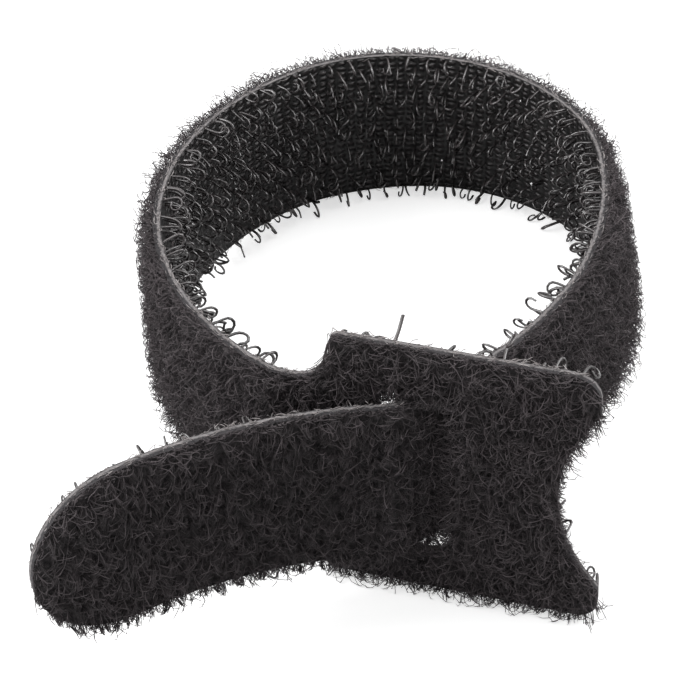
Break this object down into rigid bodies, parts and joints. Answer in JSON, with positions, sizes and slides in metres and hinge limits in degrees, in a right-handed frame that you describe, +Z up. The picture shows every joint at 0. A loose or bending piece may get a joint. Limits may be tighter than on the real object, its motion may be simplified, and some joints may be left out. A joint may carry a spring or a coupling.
{
  "type": "hook and loop cable tie",
  "caption": "Black hook and loop cable tie standing as a closed loop, its round-ended tail passed through the slot of its fishtail head and folded back.",
  "frame": {"origin": "middle of the bounding box, on the surface that the tie stands on", "axes": "+Z up; +Y from the head towards the far side of the loop; +X from the tail's side towards the head's end"},
  "size_m": [0.0378, 0.0506, 0.0201],
  "materials": {
    "tape": "matte"
  },
  "bodies": {
    "root": {"strap": "tape"}
  },
  "joints": []
}
